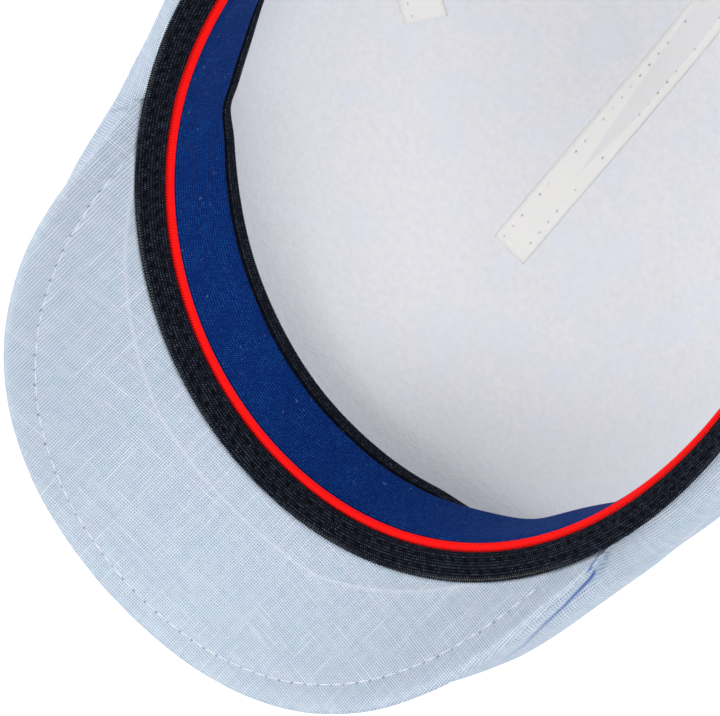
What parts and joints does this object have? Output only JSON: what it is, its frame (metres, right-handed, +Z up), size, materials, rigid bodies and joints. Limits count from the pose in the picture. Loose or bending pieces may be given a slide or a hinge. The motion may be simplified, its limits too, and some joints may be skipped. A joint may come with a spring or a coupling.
{
  "type": "flat cap",
  "caption": "Linen flat cap lying upside down on its crown, with a stiff peak, an open head hollow, a pale lining and a taped, ribbed sweatband.",
  "frame": {"origin": "on the surface that the cap rests on, under the middle of its outline", "axes": "+Z up out of the head opening, -Y towards the peak, X across the cap"},
  "size_m": [0.1754, 0.2524, 0.0884],
  "materials": {
    "linen": "pale blue plain weave with slubs",
    "lining": "off-white felt",
    "seam_tape": "off-white stitched cotton tape",
    "black_tape": "matte black twill tape",
    "red_piping": "red ribbed cord",
    "blue_knit": "dark blue ribbed knit"
  },
  "bodies": {
    "root": {"crown": "linen", "crown_lining": "lining", "peak": "linen", "sweatband_edge_tape": "black_tape", "red_piping": "red_piping", "blue_band": "blue_knit", "inner_binding": "black_tape", "seam_tape_centre": "seam_tape", "seam_tape_left": "seam_tape", "seam_tape_right": "seam_tape"}
  },
  "joints": []
}
